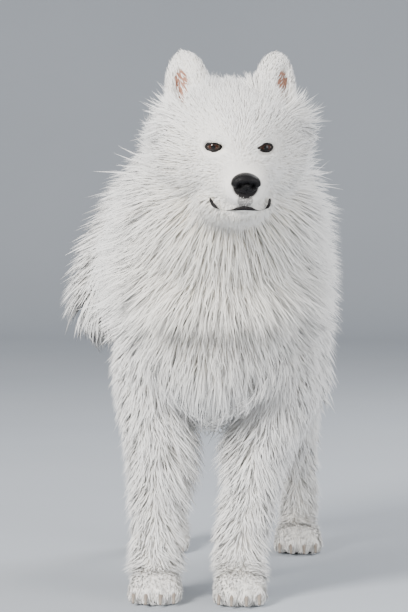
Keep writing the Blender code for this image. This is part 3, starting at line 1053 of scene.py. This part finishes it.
def guide_mix(points, normals):
    """For each root, three guides on its side of the body and how much each one counts."""
    chosen = np.zeros((len(points), 3), int)
    weights = np.zeros((len(points), 3))
    for i, point in enumerate(points):
        found = guide_tree.find_n(point, 7)
        near = [hit for hit in found if guide_normals[hit[1]] @ normals[i] > 0.2][:3] or found[:1]
        for j, hit in enumerate(near):
            chosen[i, j] = hit[1]
            weights[i, j] = 1.0 / (hit[2] + 0.001)
    return chosen, weights / weights.sum(axis=1)[:, None]


chosen, weights = guide_mix(roots, root_normals)
steps = (guide_steps[chosen] * weights[:, :, None, None]).sum(axis=1)
outs = (guide_outs[chosen] * weights[:, :, None, None]).sum(axis=1)
outs /= np.linalg.norm(outs, axis=2)[:, :, None]
numbers = (facts[chosen] * weights[:, :, None]).sum(axis=1)
print("bends", steps.shape)

# %% Gather the tufts in locks


def face_scale(local):
    """How much the hair is shortened round the eyes and near the nose."""
    scale = np.ones(len(local))
    for side in SIDES:
        away = np.linalg.norm(local - np.array(eye_centre(side)), axis=1)
        scale = np.minimum(scale, np.clip((away - 0.010) / 0.030, 0.16, 1.0))
    away = np.linalg.norm(local - np.array((0.0, -0.088, -0.043)), axis=1)
    return np.minimum(scale, np.clip((away - 0.014) / 0.060, 0.16, 1.0))


SIDE_ROOM = 0.012
clump_ids = np.arange(0, GUIDES, CLUMP_SHARE)
clump_tree = tree_of(guide_points[clump_ids])
clump_of = clump_ids[[clump_tree.find(point)[1] for point in roots]]
along = np.linspace(0.0, 1.0, GUIDE_STEPS + 1)[None, :, None]
under = draw.random(len(roots)) < 0.40
stretch = np.where(under, draw.uniform(0.40, 0.75, len(roots)), draw.uniform(0.80, 1.06, len(roots)))
in_head = moved_by(HEAD_BACK, roots)
face = face_scale(in_head)
stretch *= face
paths = roots[:, None, :] + steps * stretch[:, None, None]
centre = guide_paths[clump_of]
pull = (numbers[:, 4] * draw.uniform(0.4, 1.3, len(roots)))[:, None, None] * along**1.4
same_side = (guide_normals[clump_of] * root_normals).sum(axis=1) > 0.4
pull *= (same_side * face)[:, None, None]
paths += (centre - paths) * pull * 0.8
sideways = np.cross(steps[:, -1], root_normals)
sideways /= np.linalg.norm(sideways, axis=1)[:, None] + 1e-9
sway = numbers[:, 1] * face * draw.normal(0.0, 0.09, len(roots))
aside = numbers[:, 1] * face * draw.normal(0.0, 0.13, len(roots))
turns = draw.uniform(1.5, 5.0, len(roots))[:, None]
wave = np.sin(along[0, :, 0] * turns + draw.uniform(0, 6.3, len(roots))[:, None])
paths += sideways[:, None, :] * ((sway[:, None] * wave + aside[:, None]) * along[0, :, 0])[:, :, None]
lift = numbers[:, 0] * face * draw.normal(0.0, 0.15, len(roots))
paths += outs * lift[:, None, None] * along
paths[:, 0] -= root_normals * 0.0020
side_limit = cad_box[1][0] + SIDE_ROOM
overshoot = np.abs(paths[:, :, 0]).max(axis=1) / side_limit
paths = np.where((overshoot > 1.0)[:, None, None], paths[:, :1] + (paths - paths[:, :1]) * 0.72, paths)
paths[:, :, 0] = np.clip(paths[:, :, 0], -side_limit, side_limit)
paths[:, :, 2] = np.maximum(paths[:, :, 2], 0.0015)
print("tufts", paths.shape)

# %% Keep the hair off the eyes, the nose, the lips and the cups of the ears


def crosses(matrix, centre, radii, front):
    """Which tufts pass in front of an oval, seen along Y in a frame of its own."""
    flat = paths.reshape(-1, 3)
    local = moved_by(matrix.inverted(), flat).reshape(paths.shape)
    oval = ((local[:, :, 0] - centre[0]) / radii[0]) ** 2 + ((local[:, :, 2] - centre[1]) / radii[1]) ** 2
    return ((oval < 1.0) & (local[:, :, 1] < front)).any(axis=1)


covered = crosses(HEAD_IN_FRAME, (0.0, -0.0430), (0.0180, 0.0150), -0.078)
covered |= crosses(HEAD_IN_FRAME, (0.0, -0.0630), (0.0090, 0.0100), -0.070) & (draw.random(len(paths)) < 0.45)
covered |= crosses(HEAD_IN_FRAME, (0.0, -0.0748), (0.0130, 0.0032), -0.070)
for side in SIDES:
    turn = SIDES[side]
    covered |= crosses(EYE_FRAMES[side], (0.0, 0.0), (0.0138, 0.0080), 0.0)
    corner = crosses(HEAD_IN_FRAME, (0.0395 * turn, -0.0715), (0.0040, 0.0055), -0.024)
    covered |= corner & (in_head[:, 1] < -0.02)
    cup_frame = TO_FRAME @ ear_frame(side)
    cup_centre = (CUP_OUTWARDS * turn, EAR_HEIGHT * CUP_MIDDLE)
    cup = crosses(cup_frame, cup_centre, (0.0095, EAR_HEIGHT * CUP_HALF_HEIGHT), 0.004)
    cup &= (moved_by(cup_frame.inverted(), roots)[:, 1] > -0.050) & (draw.random(len(paths)) < 0.86)
    covered |= cup
open_now = ~covered
paths, outs, roots, root_charts = paths[open_now], outs[open_now], roots[open_now], root_charts[open_now]
numbers, face = numbers[open_now], face[open_now]
print("taken off", int(covered.sum()), "tufts")

# %% [markdown]
# ### From lines to meshes
# Long tufts get three rings and a tip, short ones two. The colours need to know where on a tuft a
# point is, so each corner carries how far along and across the tuft it is, and a random number that
# is the tuft's own. Its map place is a tiny patch round its root on the skin's unwrap. Each corner
# also faces mostly the way that the body does there and a little upwards: a coat of many fine hairs
# is shaded as one soft form, and tufts that are shaded one by one look like straw.

# %% Tuft meshes
PATCH = 0.003
COAT_LIMIT = 190000
SOFTNESS = 2.0
TOWARDS_LIGHT = (-0.15, -0.35, 0.70)


def at_share(values, share):
    """The values of each path at a share of its length."""
    place = share * GUIDE_STEPS
    low = min(int(place), GUIDE_STEPS - 1)
    return values[:, low] + (values[:, low + 1] - values[:, low]) * (place - low)


def tuft_arrays(paths, outs, widths, profile):
    """Corners, faces and inner coordinates of many tufts. The profile pairs a place with a width."""
    count = len(paths)
    roll = draw.uniform(-0.7, 0.7, count)[:, None]
    rings, inner, faced = [], [], []
    for share, wide in profile:
        here = at_share(paths, share)
        ahead = at_share(paths, min(share + 0.08, 1.0)) - at_share(paths, max(share - 0.08, 0.0))
        out = at_share(outs, share)
        across = np.cross(ahead, out)
        across /= np.linalg.norm(across, axis=1)[:, None] + 1e-12
        rise = np.cross(across, ahead)
        rise /= np.linalg.norm(rise, axis=1)[:, None] + 1e-12
        turned = across * np.cos(roll) + rise * np.sin(roll)
        keel = rise * np.cos(roll) - across * np.sin(roll)
        half = (widths * wide / 2)[:, None]
        rings += [here - turned * half, here + keel * half * 0.75, here + turned * half]
        soft = out * SOFTNESS + np.array(TOWARDS_LIGHT)
        faced += [soft - turned, soft + keel, soft + turned]
        inner += [(share, -1.0), (share, 0.0), (share, 1.0)]
    rings.append(paths[:, -1])
    faced.append(outs[:, -1] * SOFTNESS + np.array(TOWARDS_LIGHT))
    inner.append((1.0, 0.0))
    faces = [(0, 2, 1)]
    for ring in range(len(profile) - 1):
        a, b = ring * 3, ring * 3 + 3
        for j in range(3):
            k = (j + 1) % 3
            faces += [(a + j, a + k, b + k), (a + j, b + k, b + j)]
    last = (len(profile) - 1) * 3
    faces += [(last + j, last + (j + 1) % 3, last + 3) for j in range(3)]
    per_tuft = len(inner)
    verts = np.stack(rings, axis=1).reshape(-1, 3)
    tris = (np.array(faces)[None] + (np.arange(count) * per_tuft)[:, None, None]).reshape(-1, 3)
    normals = np.stack(faced, axis=1).reshape(-1, 3)
    normals /= np.linalg.norm(normals, axis=1)[:, None] + 1e-12
    return verts, tris, np.tile(np.array(inner), (count, 1)), normals


def coat_piece(name, finish, paths, outs, widths, charts, profile):
    """One mesh of many tufts."""
    verts, tris, inner, normals = tuft_arrays(paths, outs, widths, profile)
    per_tuft = len(verts) // len(paths)
    mesh = bpy.data.meshes.new(name)
    mesh.vertices.add(len(verts))
    mesh.vertices.foreach_set("co", verts.ravel())
    mesh.loops.add(len(tris) * 3)
    mesh.loops.foreach_set("vertex_index", tris.ravel())
    mesh.polygons.add(len(tris))
    mesh.polygons.foreach_set("loop_start", np.arange(len(tris)) * 3)
    mesh.polygons.foreach_set("use_smooth", np.ones(len(tris), bool))
    mesh.update(calc_edges=True)
    mesh.normals_split_custom_set_from_vertices(normals)
    own = np.repeat(draw.random(len(paths)), per_tuft)
    strand = mesh.attributes.new("strand", "FLOAT_VECTOR", "POINT")
    strand.data.foreach_set("vector", np.column_stack([inner, own]).astype(np.float32).ravel())
    spots = np.repeat(charts, per_tuft, axis=0)
    spots[:, 0] += inner[:, 1] * PATCH / 2
    spots[:, 1] += (inner[:, 0] - 0.5) * PATCH
    layer = mesh.uv_layers.new(name="OFBake")
    layer.data.foreach_set("uv", spots[tris.ravel()].astype(np.float32).ravel())
    made = bpy.data.objects.new(name, mesh)
    bpy.context.scene.collection.objects.link(made)
    mesh.materials.append(finish.material)
    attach(made, "root")
    print(name, len(tris), "triangles")
    return made


# %% [markdown]
# ### White hair
# White hair is never plain white: it is cream near the skin and where it is old, and brightest at
# its tips. The cream near the skin is partly the undercoat's own tone and partly painted shade, for
# the light that hardly reaches the roots. Each tuft also differs a little from the next. Fine ridges
# across a tuft make it look like many hairs, which saves drawing each of them as a mesh.

# %% Coat finish
# Colour at the roots: the undercoat's cream tone together with painted shade deep in the coat
ROOT_CREAM_AND_SHADE = (0.88, 0.80, 0.65)
WHITE = (0.97, 0.965, 0.95)
SHADE = (0.94, 0.925, 0.89)
WARM = (0.94, 0.90, 0.81)
BIB = SHIFT + Vector((0.0, -0.40, 0.46))


def coat_finish():
    gloss = {"Roughness": 0.70, "Specular_IOR_Level": 0.15}
    made = Finish("white_coat", **gloss, Sheen_Weight=0.25, Sheen_Roughness=0.5)
    strand = made.node("ShaderNodeAttribute", {"attribute_name": "strand"}, {}, "Vector")
    parts = {
        key: made.node("ShaderNodeSeparateXYZ", {}, {"Vector": strand}, key) for key in ("X", "Y", "Z")
    }
    along, across, own = parts["X"], parts["Y"], parts["Z"]
    bib = 1.0 - made.distance(BIB).over(0.06, 0.24)
    # Cream towards the roots, strongest on the bib: partly the undercoat's tone, partly painted shade inside
    # the coat
    depth = (1.0 - along.over(0.10, 0.80)) * (0.35 + bib * 0.65)
    patches = made.noise(9.0, 2.0).over(0.35, 0.70)
    body = made.blend(own * 0.6 + patches * 0.3, WHITE, SHADE)
    body = made.blend(bib * 0.6, body, WARM)
    made.colour(made.blend(depth, body, ROOT_CREAM_AND_SHADE))
    turns = across * 14.0 + own * 40.0 + along * 3.0
    made.bump(turns.math("SINE", turns), 0.0003, 0.15)
    return made


COAT = coat_finish()
print("finish", COAT.material.name)

# %% [markdown]
# ### The coat in pieces
# The tufts are sorted by where they grow, from the head back, and shared out over pieces that
# stay small enough to handle.

# %% Make the coat
LONG = ((0.0, 0.60), (0.32, 1.0), (0.70, 0.72))
SHORT = ((0.0, 0.75), (0.45, 1.0))
SHORT_HAIR = 0.042


def make_coat():
    total = 0
    for kind, profile, chosen_now in (
        ("short", SHORT, numbers[:, 1] < SHORT_HAIR),
        ("long", LONG, numbers[:, 1] >= SHORT_HAIR),
    ):
        ids = np.flatnonzero(chosen_now)
        ids = ids[np.argsort(roots[ids, 1])]
        faces_each = 6 * len(profile) - 2
        parts = math.ceil(len(ids) * faces_each / COAT_LIMIT)
        for i, chunk in enumerate(np.array_split(ids, parts)):
            widths = numbers[chunk, 2] * draw.uniform(0.75, 1.2, len(chunk)) * (0.55 + 0.45 * face[chunk])
            coat_piece(
                f"coat_{kind}_{i + 1}", COAT, paths[chunk], outs[chunk], widths, root_charts[chunk], profile
            )
            total += len(chunk) * faces_each
    return total


print("coat", make_coat(), "triangles")

# %% [markdown]
# ## Skin finish
# The skin shows only between hairs, so it carries the colour of the undercoat, with a fine bump of
# short hair. Inside the ears it is a dark pink: pink skin with painted shade of the hollow cups. It is
# black round the eyes and the nose.

# %% Skin finish
# Pink of the ear cups, darker than the skin's own pale pink: painted shade of the hollows
CUP_PINK_AND_SHADE = (0.40, 0.21, 0.15)
BLACK = (0.020, 0.018, 0.018)


def skin_finish():
    made = Finish("undercoat", Roughness=0.85, Specular_IOR_Level=0.2)
    fur = made.blend(made.noise(60.0), (0.90, 0.86, 0.79), (0.94, 0.92, 0.88))
    # Spots in each ear cup: pink skin with the shade of the hollow painted in
    for side in SIDES:
        for level in (0.30, 0.45, 0.58):
            cup = TO_FRAME @ ear_frame(side) @ Vector((CUP_OUTWARDS * SIDES[side], 0.002, EAR_HEIGHT * level))
            fur = made.blend(1.0 - made.distance(cup).over(0.0110, 0.0170), fur, CUP_PINK_AND_SHADE)
    for side in SIDES:
        eye = made.distance(HEAD_IN_FRAME @ (eye_centre(side) + Vector((0.0, -0.004, 0.0))))
        fur = made.blend(1.0 - eye.over(0.0085, 0.0105), fur, BLACK)
    for level, reach, share in ((-0.044, 0.016, 1.0), (-0.064, 0.009, 0.7)):
        nose = made.distance(HEAD_IN_FRAME @ Vector((0.0, -0.084, level)))
        fur = made.blend((1.0 - nose.over(reach, reach + 0.003)) * share, fur, BLACK)
    made.colour(fur)
    made.bump(made.noise(900.0, 2.0), 0.0005, 0.4)
    return made


skin.data.materials.clear()
skin.data.materials.append(skin_finish().material)
print("skin painted")

# %% [markdown]
# ## Eyes
# A dog's eye is a dark brown iris behind a wet, bulging cornea, in an almond of black lid rims. The
# ball and its bulge are one mesh, painted by the distance from its foremost point. The rims are a
# rounded band that follows the almond.

# %% Eyes
LID_HALF_WIDTH = 0.0108
LID_ABOVE = 0.0056
LID_BELOW = 0.0046


def eye_finish(side):
    made = Finish("wet_eye_" + side, Roughness=0.06, Specular_IOR_Level=0.35)
    front = EYE_FRAMES[side] @ Vector((0.0, -EYE_RADIUS, 0.0))
    far = made.distance(front)
    threads = made.noise(900.0)
    iris = made.blend(threads, (0.022, 0.007, 0.004), (0.060, 0.019, 0.010))
    ball = made.blend(far.over(0.0030, 0.0036), (0.003, 0.003, 0.003), iris)
    made.colour(made.blend(far.over(0.0062, 0.0072), ball, (0.10, 0.07, 0.055)))
    return made


def make_eye(side):
    bm = bmesh.new()
    bmesh.ops.create_uvsphere(bm, u_segments=48, v_segments=32, radius=EYE_RADIUS)
    for vert in bm.verts:
        lean = max(-vert.co.y / EYE_RADIUS, 0.0)
        vert.co.y -= 0.0009 * max((lean - 0.78) / 0.22, 0.0) ** 0.7
    bm.transform(EYE_FRAMES[side])
    made = mesh_object("eyeball_" + side, bm)
    for face in made.data.polygons:
        face.use_smooth = True
    made.data.materials.append(eye_finish(side).material)
    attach(made, "root")
    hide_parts("eye_" + side)


for side in SIDES:
    make_eye(side)
print("two eyes")

# %% Lid rims


def tube(name, points, outs, widths, thick, finish, closed, sides=10):
    """A band along points, with an oval section that lies on its outward direction."""
    bm = bmesh.new()
    count = len(points)
    rings = []
    for i, point in enumerate(points):
        before = points[(i - 1) % count] if closed else points[max(i - 1, 0)]
        after = points[(i + 1) % count] if closed else points[min(i + 1, count - 1)]
        along = (after - before).normalized()
        out = (outs[i] - along * outs[i].dot(along)).normalized()
        across = along.cross(out)
        ring = []
        for j in range(sides):
            angle = j / sides * math.tau
            place = point + across * math.cos(angle) * widths[i] / 2
            place += out * math.sin(angle) * min(thick, widths[i]) / 2
            ring.append(bm.verts.new(place))
        rings.append(ring)
    pairs = list(zip(rings, rings[1:])) + ([(rings[-1], rings[0])] if closed else [])
    for one, two in pairs:
        for j in range(sides):
            k = (j + 1) % sides
            bm.faces.new((one[j], one[k], two[k], two[j]))
    if not closed:
        bm.faces.new(rings[0])
        bm.faces.new(rings[-1])
    made = mesh_object(name, bm)
    for face in made.data.polygons:
        face.use_smooth = True
    made.data.materials.append(finish.material)
    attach(made, "root")
    return made


def leather_finish(name, fine):
    made = Finish(name, Roughness=0.50, Specular_IOR_Level=0.2)
    made.colour(made.blend(made.noise(260.0), (0.006, 0.005, 0.005), (0.014, 0.012, 0.012)))
    made.bump(made.noise(fine, 1.0), 0.0004, 0.5)
    return made


RIM = leather_finish("black_lids", 1500.0)


def lid_rim(side):
    """The black edge of the lids, a little wider at both corners."""
    place = EYE_FRAMES[side]
    points, outs, widths = [], [], []
    count = 40
    for i in range(count):
        angle = i / count * math.tau
        cos, sin = math.cos(angle), math.sin(angle)
        x = LID_HALF_WIDTH * cos
        z = (LID_ABOVE if sin > 0 else LID_BELOW) * math.copysign(abs(sin) ** 1.25, sin)
        flat = min(math.hypot(x, z), EYE_RADIUS * 0.96)
        y = -math.sqrt(max(EYE_RADIUS**2 - flat**2, 0.0)) * 0.92 - 0.0014
        points.append(place @ Vector((x, y, z)))
        outs.append(place.to_3x3() @ Vector((cos * 0.3, -1.0, sin * 0.3)).normalized())
        widths.append(0.0036 + 0.0014 * abs(cos) ** 4)
    return tube("lid_rim_" + side, points, outs, widths, 0.0022, RIM, True)


for side in SIDES:
    lid_rim(side)
print("two lid rims")

# %% [markdown]
# ## Nose
# The nose leather is broad, with a nostril on each side that curls outwards like a comma, and a
# groove down the middle. The form is a dense loft whose points are pushed in where the nostrils
# and the groove are, which keeps the edges round as on real leather.

# %% Nose
NOSE_FRONT = -MUZZLE_LENGTH - 0.0095


def nose_rows():
    stations = (
        (0.0, NOSE_FRONT + 0.026, -0.0405, 0.0160, 0.0105, 0.0120),
        (0.0, NOSE_FRONT + 0.014, -0.0408, 0.0196, 0.0130, 0.0142),
        (0.0, NOSE_FRONT + 0.006, -0.0415, 0.0194, 0.0125, 0.0138),
        (0.0, NOSE_FRONT + 0.0015, -0.0425, 0.0160, 0.0098, 0.0110),
        (0.0, NOSE_FRONT, -0.0430, 0.0090, 0.0050, 0.0060),
        (0.0, NOSE_FRONT - 0.0002, -0.0430, 0.0020, 0.0012, 0.0014),
    )
    return smooth_rows(stations, 70)


def pushed(local):
    """How far a point of the nose is pushed back into the head."""
    x, z = abs(local.x), local.z
    depth = 0.0085 * math.exp(-(((x - 0.0088) / 0.0034) ** 2) - ((z + 0.0432) / 0.0034) ** 2)
    curl = -0.0445 - 0.0022 * math.sin(min(max((x - 0.010) / 0.010, 0.0), 1.0) * math.pi * 0.9)
    if 0.009 < x < 0.021:
        depth = max(depth, 0.0045 * math.exp(-(((z - curl) / 0.0015) ** 2)) * min((0.0215 - x) / 0.004, 1.0))
    groove = 0.0014 * math.exp(-((x / 0.0011) ** 2)) * min(max((-0.0390 - z) / 0.003, 0.0), 1.0)
    return depth + groove


def make_nose():
    bm = bmesh.new()
    Loft(nose_rows(), 120, place=HEAD).add_to(bm)
    for vert in bm.verts:
        local = HEAD_BACK @ vert.co
        if local.y < NOSE_FRONT + 0.013:
            local.y += pushed(local)
            local.x *= 1.0 - 0.30 * ramp(local.z, -0.0430, -0.0560)
            vert.co = HEAD_IN_FRAME @ local
    made = mesh_object("nose_leather", bm)
    for face in made.data.polygons:
        face.use_smooth = True
    finish = Finish("nose_leather", Roughness=0.40, Specular_IOR_Level=0.12)
    sockets = {"Vector": finish.place(), "Scale": 620.0}
    pebbles = finish.node("ShaderNodeTexVoronoi", {}, sockets, "Distance")
    finish.colour(finish.blend(pebbles, (0.014, 0.013, 0.014), (0.006, 0.006, 0.006)))
    finish.bump(1.0 - pebbles, 0.0005, 0.55)
    made.data.materials.append(finish.material)
    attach(made, "root")
    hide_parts("nose")
    return made


make_nose()
print("nose")

# %% [markdown]
# ## Lips
# The mouth is shut, with the corners turned up. Dark lips show as a band that is thick below the
# nose and at the corners, and almost closes between them.

# %% Lips
LIP_LINE = (
    (0.000, -0.0815, -0.0745, 0.0060),
    (0.008, -0.0805, -0.0752, 0.0052),
    (0.015, -0.0745, -0.0774, 0.0022),
    (0.023, -0.0640, -0.0794, 0.0006),
    (0.031, -0.0530, -0.0788, 0.0008),
    (0.0370, -0.0450, -0.0752, 0.0056),
    (0.0395, -0.0370, -0.0708, 0.0052),
    (0.0404, -0.0320, -0.0676, 0.0024),
)


def make_lip(side):
    rows = smooth_rows(LIP_LINE, 30)
    points = [HEAD_IN_FRAME @ Vector((row[0] * SIDES[side], row[1], row[2])) for row in rows]
    turned = HEAD_IN_FRAME.to_3x3()
    outs = [turned @ Vector((row[0] * 20.0 * SIDES[side], -0.6, -0.2)).normalized() for row in rows]
    return tube("lip_" + side, points, outs, list(rows[:, 3]), 0.0040, RIM, False)


for side in SIDES:
    make_lip(side)
print("lips")

# %% [markdown]
# ## Claws
# Each toe ends in a short, curved claw of pale horn. The picture hides the paws in snow, so their
# shape is the breed's usual one.

# %% Claws


def claw_rows(paw, out, along):
    """A claw from inside the toe forwards and down."""
    x, y = paw.x + out * 1.1, paw.y + along
    stations = (
        (x, y - 0.008, 0.0150, 0.0032, 0.0036, 0.0036),
        (x, y - 0.018, 0.0140, 0.0028, 0.0032, 0.0032),
        (x, y - 0.024, 0.0095, 0.0020, 0.0022, 0.0022),
        (x, y - 0.027, 0.0045, 0.0010, 0.0010, 0.0010),
    )
    return smooth_rows(stations, 12)


def make_claws():
    paws = [*FORE_PAW.values(), *HIND_PAW.values()]
    made = loft_object("claws", *[Loft(claw_rows(paw, *toe), 12) for paw in paws for toe in TOES])
    for face in made.data.polygons:
        face.use_smooth = True
    horn = Finish("horn", Roughness=0.35)
    horn.colour(horn.blend(horn.noise(300.0), (0.22, 0.18, 0.15), (0.34, 0.29, 0.24)))
    made.data.materials.append(horn.material)
    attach(made, "root")
    return made


make_claws()
print(len(TOES) * 4, "claws")

# %% [markdown]
# ## The end
# The dressed dog may be only a little larger than its solids.

# %% Done
print("the dog is dressed")
